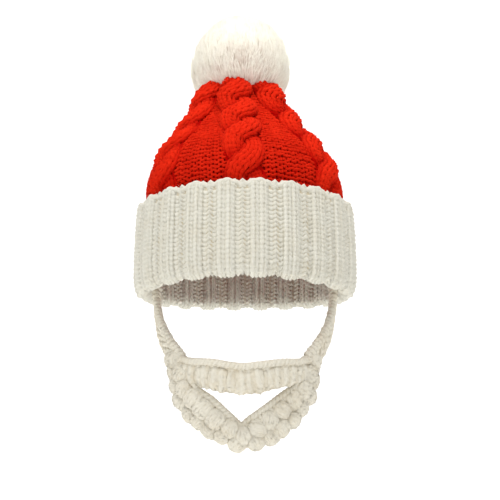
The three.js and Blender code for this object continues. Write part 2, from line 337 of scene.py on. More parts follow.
def strand_mesh(name, bundles):
    """One mesh of all the bundles: quads along each strand, a cap at each open end, and two maps.

    The map named yarn holds metres along a strand and turns round it. The map for baking lays the
    strands side by side.
    """
    points, quads, caps, maps, bakes, cap_maps, cap_bakes, painted_shades = ([] for _ in range(8))
    columns = [max(1, round(BAKE_LINE_POINTS / b["rings"].shape[1])) for b in bundles]
    lines = [math.ceil(b["rings"].shape[0] / c) for b, c in zip(bundles, columns)]
    weights = [n * max(1, round(b["rings"].shape[2] / BAKE_SIDES)) for b, n in zip(bundles, lines)]
    first_line = 0
    first_point = 0
    for bundle, column_count, line_count, weight in zip(bundles, columns, lines, weights):
        rings = bundle["rings"]
        yarns, count, sides, _ = rings.shape
        index = first_point + np.arange(yarns * count * sides).reshape(yarns, count, sides)
        ahead = np.roll(index, -1, axis=1) if bundle["closed"] else index[:, 1:]
        here = index if bundle["closed"] else index[:, :-1]
        around = [here, np.roll(here, -1, axis=2), np.roll(ahead, -1, axis=2), ahead]
        quads.append(np.stack(around, axis=-1).reshape(-1, 4))
        middle = rings.mean(axis=2)
        step = np.linalg.norm(np.roll(middle, -1, axis=1) - middle, axis=-1) * MM
        reach = np.concatenate([np.zeros((yarns, 1)), np.cumsum(step, axis=1)], axis=1)
        spans = here.shape[1]
        u = np.broadcast_to(reach[:, :spans, None], here.shape)
        u_ahead = np.broadcast_to(reach[:, 1 : spans + 1, None], here.shape)
        v = np.broadcast_to(np.arange(sides) / sides, here.shape)
        v_ahead = v + 1 / sides
        maps.append(np.stack([u, v, u, v_ahead, u_ahead, v_ahead, u_ahead, v], axis=-1).reshape(-1, 2))
        number = np.arange(yarns)[:, None, None]
        left = number % column_count + BAKE_END_GAP + BAKE_LENGTH * np.arange(spans)[:, None] / spans
        left = left / column_count
        right = left + BAKE_LENGTH / spans / column_count
        height = weight / line_count
        low = first_line + number // column_count * height + height * (BAKE_SIDE_GAP + BAKE_WIDTH * v)
        low = low / sum(weights)
        high = low + BAKE_WIDTH * height / sides / sum(weights)
        left, right, low, high = np.broadcast_arrays(left, right, low, high)
        bakes.append(np.stack([left, low, left, high, right, high, right, low], axis=-1).reshape(-1, 2))
        points.append(rings.reshape(-1, 3))
        painted_shades.append(np.broadcast_to(bundle["painted_shade"], rings.shape[:3]).reshape(-1))
        first_point += yarns * count * sides
        first_line += weight
        if bundle["closed"]:
            continue
        caps.append(index[:, 0, ::-1])
        for cap_map, whole in ((cap_maps, maps), (cap_bakes, bakes)):
            corner = whole[-1].reshape(yarns, spans, sides, 4, 2)
            cap_map.append(corner[:, 0, ::-1, 0])
            if bundle["tips"] is None:
                cap_map.append(corner[:, -1, :, 3])
            else:
                end = np.stack([corner[:, -1, :, 3], corner[:, -1, :, 2]], axis=2)
                peak = end.mean(axis=2, keepdims=True) + [TIP_STEP, 0]
                cap_map.append(np.concatenate([end, peak], axis=2).reshape(-1, 3, 2))
        last = index[:, -1]
        if bundle["tips"] is None:
            caps.append(last)
        else:
            tip = np.broadcast_to((first_point + np.arange(yarns))[:, None], last.shape)
            caps.append(np.stack([last, np.roll(last, -1, axis=1), tip], axis=-1).reshape(-1, 3))
            points.append(bundle["tips"])
            painted_shades.append(np.zeros(yarns))
            first_point += yarns
    corners = [np.concatenate(quads).reshape(-1)] + [c.reshape(-1) for c in caps]
    sizes = [np.full(sum(len(q) for q in quads), 4)] + [np.full(len(c), c.shape[1]) for c in caps]
    whole_maps = {
        "yarn": np.concatenate(maps + [ends.reshape(-1, 2) for ends in cap_maps]),
        "OFBake": np.concatenate(bakes + [ends.reshape(-1, 2) for ends in cap_bakes]),
    }
    points = np.concatenate(points) * MM
    painted_shades = np.concatenate(painted_shades)
    return filled_mesh(name, points, np.concatenate(corners), np.concatenate(sizes), whole_maps, painted_shades)


HAIR_SIDES = 3
HAIR_SPREAD = 0.5
HAIR_ROOT = 0.9
HAIR_STRAY = 0.6
HAIR_SHORTEST = 0.4
HAIR_BEND_PLACE = 0.45
HAIR_BEND = 0.35


def fuzz(bundles, count, length, thickness, seed):
    """Fine stray hairs that stand off the outer sides of bundles of yarn."""
    dice = np.random.default_rng(seed)
    whole = sum(b["rings"].shape[0] * b["rings"].shape[1] for b in bundles)
    starts, outs = [], []
    for bundle in bundles:
        rings = bundle["rings"]
        hairs = round(count * rings.shape[0] * rings.shape[1] / whole)
        yarn = dice.integers(0, rings.shape[0], hairs)
        point = dice.integers(0, rings.shape[1], hairs)
        middle = rings[yarn, point].mean(axis=1)
        out = unit(bundle["facing"][yarn, point] + dice.normal(0, HAIR_SPREAD, (hairs, 3)))
        radius = np.linalg.norm(rings[yarn, point, 0] - middle, axis=1)
        starts.append(middle + out * (radius * HAIR_ROOT)[:, None])
        outs.append(out)
    start = np.concatenate(starts)
    way = unit(np.concatenate(outs) + dice.normal(0, HAIR_STRAY, start.shape))
    reach = (length * dice.uniform(HAIR_SHORTEST, 1.0, len(start)))[:, None]
    level = unit(np.cross(way, dice.normal(0, 1, way.shape)))
    turn = np.arange(HAIR_SIDES) / HAIR_SIDES * 2 * math.pi
    root = start[:, None, :] + thickness / 2 * (
        np.cos(turn)[:, None] * level[:, None, :]
        + np.sin(turn)[:, None] * np.cross(way, level)[:, None, :]
    )
    near = root + (way * reach * HAIR_BEND_PLACE)[:, None, :]
    bent = way + dice.normal(0, HAIR_BEND, way.shape)
    return strands(np.stack([root, near], axis=1), False, 0.0, start + bent * reach)


def finished(name, mesh, material, slot, *nodes):
    """Puts a mesh in the scene as a piece that stands for its solids and rides on the hat."""
    piece = bpy.data.objects.new(name, mesh)
    bpy.context.scene.collection.objects.link(piece)
    mesh.materials.append(material)
    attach(piece, "root")
    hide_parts(*nodes)
    return piece


YARN_PLIES = 3.0
PLY_RELIEF = 0.55
PLY_SHADE = 0.10
FIBRE_SCALE = 520.0
FIBRE_RELIEF = 0.9
PATCH_SCALE = 60.0
YARN_ROUGHNESS = 0.78
FIBRE_ROUGHNESS = 0.2
YARN_GLOSS = 0.02
SHEEN_ROUGHNESS = 0.5
BUMP_DEPTH = 0.6


def spun_yarn_group():
    """Plied, slightly uneven yarn: twisted plies along the strand, fine fibres, and painted shade between
    the plies and in the hollows.
    """
    group = bpy.data.node_groups.new("spun_yarn", "ShaderNodeTree")
    # The deep colour is the colour of painted shade, and of the darker patches of the random mottle.
    for socket, kind, way, value in (
        ("Colour", "NodeSocketColor", "INPUT", (0.8, 0.8, 0.8, 1)),
        ("Deep colour", "NodeSocketColor", "INPUT", (0.3, 0.3, 0.3, 1)),
        ("Plies per metre", "NodeSocketFloat", "INPUT", 170.0),
        ("Mottle", "NodeSocketFloat", "INPUT", 0.4),
        ("Colour", "NodeSocketColor", "OUTPUT", None),
        ("Roughness", "NodeSocketFloat", "OUTPUT", None),
        ("Height", "NodeSocketFloat", "OUTPUT", None),
    ):
        made = group.interface.new_socket(socket, in_out=way, socket_type=kind)
        if value is not None:
            made.default_value = value
    nodes = group.nodes
    link = group.links.new

    def maths(operation, *values):
        """The result of a sum on numbers or on other nodes' results."""
        node = nodes.new("ShaderNodeMath")
        node.operation = operation
        for socket, value in zip(node.inputs, values):
            if isinstance(value, (int, float)):
                socket.default_value = value
            else:
                link(value, socket)
        return node.outputs[0]

    def noise(scale, detail, roughness):
        """A cloudy pattern that is fixed to the piece."""
        node = nodes.new("ShaderNodeTexNoise")
        node.inputs["Scale"].default_value = scale
        node.inputs["Detail"].default_value = detail
        node.inputs["Roughness"].default_value = roughness
        link(where.outputs["Object"], node.inputs["Vector"])
        return node.outputs["Fac"]

    given = nodes.new("NodeGroupInput")
    yarn_map = nodes.new("ShaderNodeUVMap")
    yarn_map.uv_map = "yarn"
    split = nodes.new("ShaderNodeSeparateXYZ")
    link(yarn_map.outputs["UV"], split.inputs[0])
    twist = maths("MULTIPLY", split.outputs["X"], given.outputs["Plies per metre"])
    turns = maths("ADD", twist, maths("MULTIPLY", split.outputs["Y"], YARN_PLIES))
    ply = maths("MULTIPLY_ADD", maths("SINE", maths("MULTIPLY", turns, 2 * math.pi)), 0.5, 0.5)
    where = nodes.new("ShaderNodeTexCoord")
    fibres = noise(FIBRE_SCALE, detail=5.0, roughness=0.65)
    patches = noise(PATCH_SCALE, detail=4.0, roughness=0.5)
    painted_shade = nodes.new("ShaderNodeAttribute")
    painted_shade.attribute_name = "painted_shade"
    height = maths("ADD", maths("MULTIPLY", ply, PLY_RELIEF), maths("MULTIPLY", fibres, FIBRE_RELIEF))
    # Painted shade: the colour darkens towards the deep colour between the plies and by each point's painted
    # shade; the mottle then adds a random tone.
    painted_ply_shade = maths("MULTIPLY", maths("SUBTRACT", 1.0, ply), PLY_SHADE)
    depth = maths("ADD", painted_ply_shade, painted_shade.outputs["Fac"])
    mottle = maths("ADD", patches, fibres)
    uneven_tone = maths("MULTIPLY", maths("SUBTRACT", mottle, 1.0), given.outputs["Mottle"])
    depth = maths("ADD", depth, uneven_tone)
    depth.node.use_clamp = True
    mix = nodes.new("ShaderNodeMix")
    mix.data_type = "RGBA"
    link(depth, mix.inputs["Factor"])
    link(given.outputs["Colour"], mix.inputs["A"])
    link(given.outputs["Deep colour"], mix.inputs["B"])
    result = nodes.new("NodeGroupOutput")
    link(mix.outputs["Result"], result.inputs["Colour"])
    link(maths("MULTIPLY_ADD", fibres, FIBRE_ROUGHNESS, YARN_ROUGHNESS), result.inputs["Roughness"])
    link(height, result.inputs["Height"])
    return group


SPUN_YARN = spun_yarn_group()


def yarn_material(name, colour, deep_colour, plies_per_metre, sheen, tint, relief=0.5, mottle=0.4):
    """A yarn's finish. Its tint is the colour of the light that its loose fibres scatter."""
    material = bpy.data.materials.new(name)
    material.use_nodes = True
    nodes = material.node_tree.nodes
    link = material.node_tree.links.new
    shader = nodes["Principled BSDF"]
    spun = nodes.new("ShaderNodeGroup")
    spun.node_tree = SPUN_YARN
    spun.inputs["Colour"].default_value = (*colour, 1)
    spun.inputs["Deep colour"].default_value = (*deep_colour, 1)
    spun.inputs["Plies per metre"].default_value = plies_per_metre
    spun.inputs["Mottle"].default_value = mottle
    bump = nodes.new("ShaderNodeBump")
    bump.inputs["Strength"].default_value = relief
    bump.inputs["Distance"].default_value = BUMP_DEPTH * MM
    link(spun.outputs["Height"], bump.inputs["Height"])
    link(bump.outputs["Normal"], shader.inputs["Normal"])
    link(spun.outputs["Colour"], shader.inputs["Base Color"])
    link(spun.outputs["Roughness"], shader.inputs["Roughness"])
    shader.inputs["Specular IOR Level"].default_value = YARN_GLOSS
    shader.inputs["Sheen Weight"].default_value = sheen
    shader.inputs["Sheen Roughness"].default_value = SHEEN_ROUGHNESS
    shader.inputs["Sheen Tint"].default_value = (*tint, 1)
    return material


def uneven(grid, size, seed):
    """Small handmade differences, smooth from one stitch to the next, for rows of stitches."""
    dice = np.random.default_rng(seed)
    rows, stitches = grid
    values = dice.normal(0, size, (rows, stitches))

    def at(place):
        low = np.floor(place).astype(int)
        share = place - low
        row = np.arange(rows).reshape(-1, *[1] * (place.ndim - 1))
        return values[row, low % stitches] * (1 - share) + values[row, (low + 1) % stitches] * share

    return at


def rib_rows(fabric, pitch, rows, samples, sides, seed):
    """Rows of two-by-two rib as rings of yarn. Knit columns stand out and show the loops' legs."""
    q = np.arange(RIB_STITCHES * samples) / samples
    stitch = np.floor(q).astype(int)
    into = q - stitch
    neighbour = np.where(into < 0.5, stitch - 1, stitch + 1)
    knit = np.where(stitch % RIB_REPEAT < RIB_KNITS, 1.0, -1.0)
    beside = np.where(neighbour % RIB_REPEAT < RIB_KNITS, 1.0, -1.0)
    share = np.clip(np.abs(into - 0.5) * 4 - 1, 0, 1)
    share = share * share * (3 - 2 * share) / 2
    face = knit * (1 - share) + beside * share
    x = q + (LOOP_SWAY + KNIT_SWAY * face) * np.sin(4 * math.pi * q)
    y = (LOOP_HEIGHT - KNIT_DROP * face) * np.cos(2 * math.pi * q)
    z = -LOOP_DEPTH * face * np.cos(4 * math.pi * q)
    column = np.cos(2 * math.pi * (x - RIB_KNITS / 2) / RIB_REPEAT)
    from_purl = (x - RIB_KNITS / 2) % RIB_REPEAT - RIB_REPEAT / 2
    x = x + PURL_SQUEEZE * np.sin(math.pi * from_purl) * (np.abs(from_purl) < 1)
    relief = KNIT_COLUMN_RISE * np.tanh(KNIT_COLUMN_EDGE * column)
    angle = (x - FRONT_STITCH) / RIB_STITCHES * 2 * math.pi + RIB_PHASE
    row = np.array(rows)[:, None]
    grid = (len(rows), RIB_STITCHES)
    q_rows = np.broadcast_to(q, (len(rows), len(q)))
    along = (row + 0.5 + y + uneven(grid, UNEVEN_ROW, seed)(q_rows)) * pitch
    along = along + EDGE_SCALLOP * column * np.clip(along / fabric.length, 0, 1) ** SCALLOP_FADE
    stand = z + relief - RIB_SETBACK + uneven(grid, UNEVEN_DEPTH, seed + 1)(q_rows)
    line, facing = fabric.place(angle[None, :], along, stand)
    plump = 1 - RIB_PLUMP * face * np.cos(4 * math.pi * q)
    thickness = RIB_YARN * plump * (1 + uneven(grid, UNEVEN_YARN, seed + 2)(q_rows))
    # Painted shade: the yarn darkens where it lies deeper in the rib.
    painted_shade = np.clip(-(z + relief) / RIB_SHADE_DEPTH, 0, 1) * RIB_SHADE
    return round_strands(line, facing, thickness, True, painted_shade, sides)


def shade_sheet(fabric, start, end, stand, half_thickness, steps_round, steps_along, painted_shade):
    """A thin closed shell inside the fabric, which shuts the small holes between the yarns. Its colour is
    painted shade, so that the holes read as shaded depths.
    """
    angle = np.arange(steps_round) / steps_round * 2 * math.pi
    along = np.linspace(start, end, steps_along)
    outer, _ = fabric.place(angle[:, None], along[None, :], np.array(stand + half_thickness))
    inner, _ = fabric.place(angle[:, None], along[None, ::-1], np.array(stand - half_thickness))
    rings = np.concatenate([outer, inner], axis=1)[None]
    return strands(rings[:, :, ::-1], True, painted_shade)


rib = HatFabric(CUFF_SECTIONS)
rib_pitch = rib.length / (RIB_ROWS_INSIDE + RIB_ROWS_OUTSIDE)
fold_run = rib_pitch * RIB_ROWS_INSIDE
edge_turns = np.arange(RIB_STITCHES * CAST_ON_SAMPLES) / CAST_ON_SAMPLES
edge_column = np.cos(2 * math.pi * (edge_turns - RIB_KNITS / 2) / RIB_REPEAT)
edge_angle = (edge_turns - FRONT_STITCH) / RIB_STITCHES * 2 * math.pi + RIB_PHASE
edge_along = rib.length + CAST_ON_RISE + EDGE_SCALLOP * edge_column
edge_along = edge_along + CAST_ON_SWAY * np.sin(2 * math.pi * edge_turns)
edge_stand = CAST_ON_RELIEF * edge_column - CAST_ON_SETBACK
edge_stand = edge_stand + CAST_ON_DEPTH * np.cos(2 * math.pi * edge_turns)
edge_line, edge_facing = rib.place(edge_angle[None, :], edge_along[None, :], edge_stand[None, :])
cast_on = round_strands(edge_line, edge_facing, CAST_ON_YARN, True)
cream_rib = yarn_material(
    "cream_rib_yarn", CREAM, CREAM_DEEP, plies_per_metre=150.0, sheen=0.2, tint=CREAM_SHEEN
)
# The sheets behind the rib carry painted shade, darker behind the outer layer than behind the inner.
rib_shade_sheet = {"stand": -0.6, "half_thickness": 0.4, "steps_round": RIB_STITCHES}
outside_rows = range(RIB_ROWS_INSIDE, RIB_ROWS_INSIDE + RIB_ROWS_OUTSIDE)
outside_rib = rib_rows(rib, rib_pitch, outside_rows, samples=8, sides=5, seed=11)
cuff_outside_mesh = strand_mesh(
    "cuff_outside",
    [
        outside_rib,
        cast_on,
        fuzz([outside_rib], CUFF_HAIRS, length=2.8, thickness=0.22, seed=13),
        shade_sheet(rib, start=fold_run, end=rib.length - 1.0, steps_along=16, painted_shade=0.6, **rib_shade_sheet),
    ],
)
finished("cuff_outside", cuff_outside_mesh, cream_rib, "cream_knit", "cuff")
cuff_inside_mesh = strand_mesh(
    "cuff_inside",
    [
        rib_rows(rib, rib_pitch, range(RIB_ROWS_INSIDE), samples=6, sides=4, seed=17),
        shade_sheet(rib, start=1.0, end=fold_run + 1.0, steps_along=14, painted_shade=0.4, **rib_shade_sheet),
    ],
)
finished("cuff_inside", cuff_inside_mesh, cream_rib, "cream_knit", "cuff")

# Crown
# The red body of the hat, knitted upwards from the cuff: six rope cables of two strands on a
# ground of purl rows, narrowing to folds that are gathered together under the pompom.
CABLES = 6
FULL_CABLE_RISE = 4
# Radius, height, depth of the folds and rise of the cables, from inside the cuff to the top's middle.
CROWN_SECTIONS = [
    (84.2, 60.4, 0, 0), (85.0, 80, 0, 0.4), (85.0, 100, 0.004, 3.6), (78.0, 120, 0.01, 4),
    (63.0, 140, 0.03, 4), (49.0, 160, 0.06, 4), (38.5, 180, 0.12, 3.6), (32.5, 192, 0.16, 2.4),
    (25.5, 197, 0.17, 1.2), (17.0, 195, 0.15, 0.6), (9.0, 189, 0.1, 0.3), (0, 186, 0, 0),
]
# A front fold's angle, its turn low down and under the pompom, in degrees, and its rise there.
FRONT_FOLDS = [(-60, 8, 8, 2.0), (0, 0, -10, -0.5), (60, -5, -14, -0.5)]
FOLD_FOCUS = 4
FULL_FOLDS = 0.15
GATHER_RUN = 100
GATHER_HOLE = 12.0
CROWN_ROWS = 43
CROWN_ROW = 3.95
CABLE_WIDTH = 36.0
CABLE_ROOM = 0.97
LEAST_RADIUS = 4.0
CABLE_STITCH = 6.3
CABLE_YARN = 3.55
CABLE_PLUMP = 0.24
CABLE_END_PLUMP = 0.2
CABLE_SWAY = 0.25
CABLE_LOOP = 0.92
CABLE_UNEVEN_ROW = 0.07
CABLE_UNEVEN_DEPTH = 0.28
CABLE_UNEVEN_YARN = 0.05
CABLE_RELIEF = 1.5
GATHERED_RELIEF = 0.3
STRAND_STITCHES = 3
STRAND_SAMPLES = 25
STRAND_SWING = 9.4
STRAND_SNAP = 1.4
STRAND_STAND = 0.3
STRAND_ARCH = 2.8
GATHERED_TUCK = 4.6
TUCK_EASE = 3.8
CROSSING_LIFT = 3.5
CROSSING_ROWS = 8.1
FIRST_CROSSING = 8.8
CROSSING_OFFSETS = np.array([0, 1.3, 0, 0, 1.5, 0.4])
CABLE_FULLNESS = np.array([1.0, 0.65, 0.8, 1.0, 0.8, 0.65])
CABLE_START = 1
CABLE_SWELL = 13
CABLE_SHADE = 0.1
LOOP_SHADE = 0.36
BEHIND_SHADE = 0.9
STRAND_SHADE = 0.95
GATHERED_SHADE = 0.1
GATHERED_CONTRAST = 0.2
CUFF_SHADE = 0.22
CUFF_SHADE_REACH = 45
# A panel's least width and the loops that each of its rows then has.
PURL_LOOPS = [(36, 7), (24, 5), (13, 3), (4, 1)]
PURL_SAMPLES = 8
PURL_YARN = 2.9
PURL_PLUMP = 0.14
PURL_RUN_ON = 0.45
PURL_SWAY = 0.20
PURL_HEIGHT = 1.25
PURL_UNEVEN_ROW = 0.06
PURL_UNEVEN_DEPTH = 0.12
PURL_WAVE = 0.16
PURL_WAVE_PACE = 1.7
PURL_DEPTH = 0.85
PURL_SETBACK = 0.3
PURL_DIVE = 2.2
PURL_SHADE = 0.85
PURL_SHADE_DEPTH = 1.8
PURL_SHADE_START = 0.3
PURL_LEAST_SHADE = 0.12
PURL_CUFF_SHADE = 0.25
PURL_CUFF_PINCH = 0.1
ANY_PHASE = 6
CROWN_HAIRS = 3300
JOIN_YARN = 5.0
JOIN_DEPTH = -1.8
JOIN_SAMPLES = 5
JOIN_WAVE = 0.5
JOIN_SHADE = 0.2
RED = (0.72, 0.0225, 0.006)
# RED_DEEP is the painted shade colour of the red yarn, and the dark end of its random mottle.
RED_DEEP = (0.37, 0.0002, 0.0002)
RED_SHEEN = (1, 0.3, 0.08)


class GatheredFabric(HatFabric):
    """A fabric whose table also gives the folds of the gathered top."""

    def middle(self, angle, along):
        """A point in the middle of the fabric's thickness, with the folds turned as the front shows them."""
        folds = self.column(along, 2)
        radius = self.column(along, 0) * (1 + folds * np.cos(CABLES * angle))
        height = self.column(along, 1)
        gathers = np.clip(folds / FULL_FOLDS, 0, 1)
        turn = 0
        for fold_angle, low_turn, top_turn, top_rise in FRONT_FOLDS:
            near = np.exp(FOLD_FOCUS * (np.cos(angle - math.radians(fold_angle)) - 1))
            turn = turn + near * np.radians(low_turn + (top_turn - low_turn) * gathers)
            height = height + near * gathers * top_rise
        return hat_point(angle + turn, radius, height)


def spread_at(fabric, along):
    """Half the angle that a cable takes, and how far it is squeezed to fit between its neighbours."""
    radius = np.maximum(fabric.column(along, 0), LEAST_RADIUS)
    room = math.pi / CABLES * CABLE_ROOM
    free = CABLE_WIDTH / 2 / radius
    return np.minimum(free, room), np.minimum(1.0, room / free)


def tucked_in(fabric, along):
    """How far the yarn lies in the shade of the cuff's edge, from 1 at the edge to 0 well above it."""
    rising = slice(SECTION_POINTS // 2)
    edge_run = np.interp(CUFF_TOP, fabric.line[rising, 1], fabric.run[rising])
    return np.clip(1 - (along - edge_run) / CUFF_SHADE_REACH, 0, 1)


def purl_rows(fabric):
    """The ground between the cables: rows of purl loops, with fewer loops as the crown narrows."""
    bundles = []
    dice = np.random.default_rng(31)
    for row in range(CROWN_ROWS):
        half, _ = spread_at(fabric, (row + 0.5) * CROWN_ROW)
        gap = 2 * math.pi / CABLES - 2 * half
        width = gap * float(fabric.column((row + 0.5) * CROWN_ROW, 0))
        if width < PURL_LOOPS[-1][0]:
            continue
        loops = next(number for least_width, number in PURL_LOOPS if width >= least_width)
        samples = round((loops + 2 * PURL_RUN_ON) * PURL_SAMPLES) + 1
        q = np.linspace(-PURL_RUN_ON, loops + PURL_RUN_ON, samples)[None, :]
        x = q + PURL_SWAY * np.sin(4 * math.pi * q)
        y = -PURL_HEIGHT * np.cos(2 * math.pi * q) + dice.normal(0, PURL_UNEVEN_ROW, (CABLES, 1))
        y = y + PURL_WAVE * np.sin(q * PURL_WAVE_PACE + dice.uniform(0, ANY_PHASE, (CABLES, 1)))
        past = np.maximum(np.maximum(-q, q - loops), 0) / PURL_RUN_ON
        z = PURL_DEPTH * np.cos(4 * math.pi * q) * (1 - past)
        stand = z - PURL_SETBACK - PURL_DIVE * past + dice.normal(0, PURL_UNEVEN_DEPTH, (CABLES, 1))
        along = np.maximum((row + 0.5 + y) * CROWN_ROW, 0.0)
        left = np.arange(CABLES)[:, None] * 2 * math.pi / CABLES + half
        angle = left + gap * x / loops
        line, facing = fabric.place(angle, along, stand)
        shade = tucked_in(fabric, along)
        # Painted shade: darker deeper in each row, everywhere a little, and in the painted shadow of the
        # cuff's edge low down.
        painted_shade = np.clip(PURL_SHADE_START - z / PURL_SHADE_DEPTH, 0, 1) * PURL_SHADE
        painted_shade = painted_shade + PURL_LEAST_SHADE + PURL_CUFF_SHADE * shade
        plump = (1 + PURL_PLUMP * np.cos(4 * math.pi * q)) * (1 - PURL_CUFF_PINCH * shade)
        bundles.append(round_strands(line, facing, PURL_YARN * plump, False, painted_shade))
    return bundles


def cable_rows(fabric):
    """Two strands of three knit stitches that swing from side to side and pass in front in turn."""
    q = np.linspace(0, STRAND_STITCHES, STRAND_SAMPLES)[None, None, None, :]
    row = np.arange(CROWN_ROWS)[None, None, :, None]
    cable = np.arange(CABLES)[:, None, None, None]
    strand = np.arange(2)[None, :, None, None]
    dice = np.random.default_rng(37)
    x = q + CABLE_SWAY * np.sin(4 * math.pi * q)
    y = -CABLE_LOOP * np.cos(2 * math.pi * q)
    y = y + dice.normal(0, CABLE_UNEVEN_ROW, (CABLES, 2, CROWN_ROWS, 1))
    across = (x - STRAND_STITCHES / 2) * CABLE_STITCH
    edge = np.abs(across) / (STRAND_STITCHES / 2 * CABLE_STITCH)
    climb = row + 0.5 + y
    crossing = FIRST_CROSSING + CROSSING_OFFSETS[cable]
    swing = math.pi * ((climb - crossing) / CROSSING_ROWS + 0.5 + strand)
    reach = STRAND_SWING / math.tanh(STRAND_SNAP)
    slope = reach * STRAND_SNAP / np.cosh(STRAND_SNAP * np.cos(swing)) ** 2
    slope = slope * math.pi / CROSSING_ROWS * np.sin(swing)
    length = np.hypot(slope, CROWN_ROW)
    side = -reach * np.tanh(STRAND_SNAP * np.cos(swing)) + across * CROWN_ROW / length
    along = climb * CROWN_ROW - across * slope / length
    along = np.clip(along, 0.0, fabric.length - GATHER_HOLE)
    above_cuff = np.clip((fabric.column(along, 1) - CUFF_TOP + CABLE_START) / CABLE_SWELL, 0, 1)
    gathered = np.where(along > GATHER_RUN, fabric.column(along, 3) / FULL_CABLE_RISE, 1.0)
    rise = np.minimum(above_cuff, gathered) * CABLE_FULLNESS[cable]
    arch = STRAND_ARCH * (1 - edge**2.5)
    relief = CABLE_RELIEF * (GATHERED_RELIEF + (1 - GATHERED_RELIEF) * gathered)
    over = np.sin(swing) - np.maximum(np.sin(swing), 0) * edge**8
    stand = -relief * np.cos(4 * math.pi * q) * (1 - edge**6)
    stand = stand + rise * (STRAND_STAND + arch + CROSSING_LIFT * over)
    stand = stand - (GATHERED_TUCK - TUCK_EASE * gathered) * edge**4
    _, squeeze = spread_at(fabric, along)
    angle = side * squeeze / np.maximum(fabric.column(along, 0), LEAST_RADIUS)
    angle = cable * 2 * math.pi / CABLES + angle
    # Painted shade: darker between loops, at the strands' edges, where a strand passes behind, and in the
    # painted shadow of the cuff's edge; on the gathered top it is evened out and a little shade added.
    behind = np.clip(-np.sin(swing), 0, 1)
    between_loops = LOOP_SHADE * np.cos(4 * math.pi * q) * (1 - edge)
    painted_shade = np.clip(CABLE_SHADE + between_loops + edge**6 + BEHIND_SHADE * behind, 0, 1)
    contrast = GATHERED_CONTRAST + (1 - GATHERED_CONTRAST) * gathered
    painted_shade = STRAND_SHADE * painted_shade * contrast + GATHERED_SHADE * (1 - gathered)
    painted_shade = painted_shade + CUFF_SHADE * tucked_in(fabric, along)
    whole = (CABLES, 2, CROWN_ROWS, STRAND_SAMPLES)
    flat = (CABLES * 2 * CROWN_ROWS, STRAND_SAMPLES)
    angle, along, stand, painted_shade, stitch = (
        np.broadcast_to(values, whole).reshape(flat) for values in (angle, along, stand, painted_shade, q)
    )
    grid = (flat[0], STRAND_STITCHES + 1)
    stand = stand + uneven(grid, CABLE_UNEVEN_DEPTH, seed=41)(stitch)
    line, facing = fabric.place(angle, along, stand)
    end = edge.reshape(1, -1) ** 6
    plump = 1 - CABLE_PLUMP * np.cos(4 * math.pi * stitch) * (1 - end) + CABLE_END_PLUMP * end
    thickness = CABLE_YARN * plump * (1 + uneven(grid, CABLE_UNEVEN_YARN, seed=43)(stitch))
    return round_strands(line, facing, thickness, False, painted_shade)


def joining_cord(fabric):
    """The row of red yarn, inside the hat, that binds the crown's first row to the cuff."""
    turns = np.arange(RIB_STITCHES * JOIN_SAMPLES) / JOIN_SAMPLES
    line, facing = fabric.place(
        turns / RIB_STITCHES * 2 * math.pi,
        JOIN_WAVE * np.sin(2 * math.pi * turns),
        JOIN_DEPTH + JOIN_WAVE * np.cos(2 * math.pi * turns),
    )
    # The cord carries a little painted shade.
    return round_strands(line[None], facing[None], JOIN_YARN, True, JOIN_SHADE)


cable_knit = GatheredFabric(CROWN_SECTIONS)
red_knit = yarn_material(
    "red_crown_yarn",
    RED,
    RED_DEEP,
    plies_per_metre=170.0,
    sheen=0.03,
    tint=RED_SHEEN,
    relief=0.9,
    mottle=0.8,
)
ground_bundles = purl_rows(cable_knit)
cable_bundle = cable_rows(cable_knit)
# A sheet of full painted shade behind the crown's yarns.
crown_shade_sheet = shade_sheet(
    cable_knit,
    start=1.0,
    end=cable_knit.length - GATHER_HOLE,
    stand=-2.2,
    half_thickness=0.4,
    steps_round=96,
    steps_along=32,
    painted_shade=1.0,
)
crown_fuzz = fuzz(ground_bundles + [cable_bundle], CROWN_HAIRS, length=3.6, thickness=0.24, seed=47)
crown_ground_mesh = strand_mesh(
    "crown_ground", ground_bundles + [crown_shade_sheet, joining_cord(cable_knit), crown_fuzz]
)
finished("crown_ground", crown_ground_mesh, red_knit, "red_knit", "crown")
finished("crown_cables", strand_mesh("crown_cables", [cable_bundle]), red_knit, "red_knit", "crown")

# Pompom
# A ball of long white fake fur on a stuffed core, sewn into the gathered top, whose folds press
# the fur upwards all round, so that it lies flat over the ball and ends in a soft outline.
POMPOM_RADIUS = 45.0
POMPOM_HEIGHT = 222.0
FUR_CORE = 42.0
CORE_SIDES = 48
CORE_RINGS = 24
CORE_POLE = 0.05
CORE_SHADE = 0.4
CORE_NEST_HEIGHT = 187.0
NEST_HEIGHT = 190.0
NEST_SLOPE = 2.0
NEST_HOLD = 0.9
FUR_WISPS = 16200
FUR_STRAYS = 3200
FUR_TUFTS = 500
FUR_COVER = 1.94
FUR_SCATTER = 0.05
FUR_ROOT = 1.0
FUR_UNEVEN = 0.5
STRAY_LENGTH = 4
FUR_COMB = 15.0
COMB_LEAST = 0.75
COMB_MOST = 1.2
COMB_POLE = 0.3
STRAY_COMB = 0.6
TUFT_SWAY = 0.14
WISP_SWAY = 0.12
WISP_PLACES = np.array([0.0, 0.55, 1.0])
WISP_WIDTHS = np.array([1.5, 1.1, 0.1])
STRAY_WIDTH = 0.25
FUR_FLATNESS = 0.35
FUR_SOFTNESS = 0.75
FUR_LIFT = 0.4
LIFT_LEAST = 0.2
LIFT_MOST = 1.8
FUR_CROWN = 1.07
FUR_SPREAD = 3.5
FUR_LEFT_SPREAD = 9.0
FUR_RIGHT_SPREAD = 4.0
FUR_SHADE_REACH = 44.0
FRONT_SHADE = 1.45
SIDE_SHADE = 0.02
# Painted shade at the wisps' roots and middles.
WISP_SHADES = np.array([0.5, 0.1])
PALEST_TUFT = -0.1
DARKEST_TUFT = 0.2
FUR_WHITE = (0.93, 0.915, 0.815)
